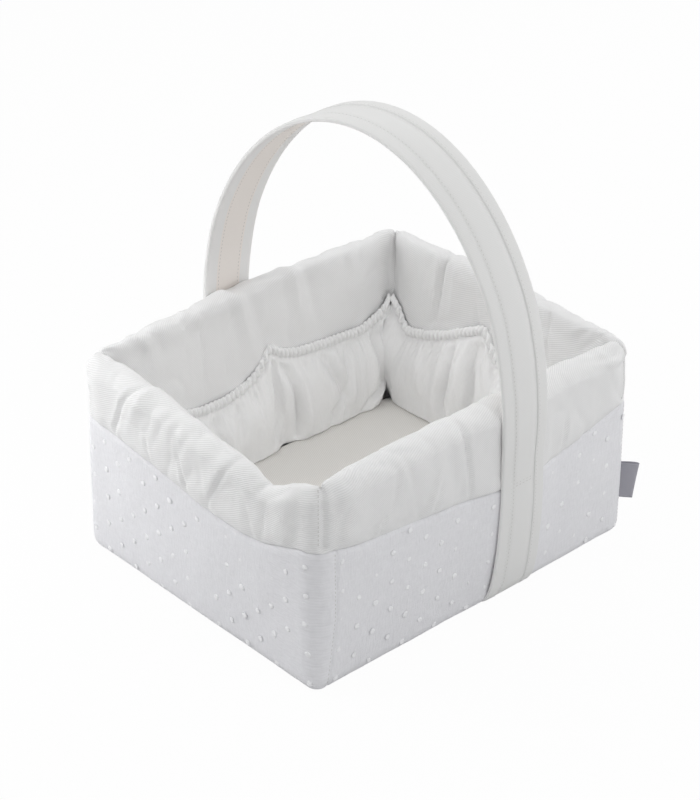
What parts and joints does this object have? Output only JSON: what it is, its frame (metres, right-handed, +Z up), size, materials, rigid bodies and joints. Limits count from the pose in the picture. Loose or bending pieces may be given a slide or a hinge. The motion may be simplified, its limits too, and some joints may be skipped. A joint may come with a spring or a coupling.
{
  "type": "layette basket",
  "caption": "Soft padded nursery basket with a rolled cuff, gathered inner pockets, a loose covered base mat and a stiffened tilting strap handle.",
  "frame": {"origin": "on the table, under the middle of the base", "axes": "+X along the long walls, towards the corner with the label; +Y from the front wall to the back wall; +Z up"},
  "size_m": [0.334, 0.2984, 0.361],
  "materials": {
    "dotted_cotton": "crinkled cotton gauze with tufted dots",
    "cuff_cotton": "smooth fine twill",
    "pocket_gauze": "crinkled gauze",
    "strap_cotton": "plain woven cotton",
    "mat_cotton": "plain woven cotton",
    "label_satin": "satin ribbon",
    "wadding": "polyester wadding",
    "board": "stiff board",
    "elastic": "flat elastic"
  },
  "bodies": {
    "basket": {"outer_panel_front": "dotted_cotton", "outer_panel_right": "dotted_cotton", "outer_panel_back": "dotted_cotton", "outer_panel_left": "dotted_cotton", "outer_base": "dotted_cotton", "wall_padding_front": "wadding", "wall_padding_right": "wadding", "wall_padding_back": "wadding", "wall_padding_left": "wadding", "base_padding": "wadding", "base_board": "board", "floor_lining": "cuff_cotton", "lining_front": "cuff_cotton", "lining_right": "cuff_cotton", "lining_back": "cuff_cotton", "lining_left": "cuff_cotton", "pocket_front": "pocket_gauze", "pocket_right": "pocket_gauze", "pocket_back": "pocket_gauze", "pocket_left": "pocket_gauze", "pocket_elastic_front": "elastic", "pocket_elastic_right": "elastic", "pocket_elastic_back": "elastic", "pocket_elastic_left": "elastic", "lower_strap_web": "strap_cotton", "lower_strap_binding_left": "strap_cotton", "lower_strap_binding_right": "strap_cotton", "side_label": "label_satin"},
    "handle": {"handle_core": "board", "handle_face": "strap_cotton", "handle_lining": "strap_cotton", "handle_binding_left": "strap_cotton", "handle_binding_right": "strap_cotton"},
    "mat": {"mat_cover": "mat_cotton", "mat_board": "board", "mat_wadding": "wadding"}
  },
  "joints": [
    {"name": "handle_tilt", "type": "hinge", "parent": "basket", "child": "handle", "pos_m": [0.012, 0, 0.105], "axis": [-0.1374, 0.9905, 0], "range_deg": [-30, 30]},
    {"name": "mat_lift", "type": "slide", "parent": "basket", "child": "mat", "axis": [0, 0, 1], "range_m": [0, 0.18]}
  ]
}
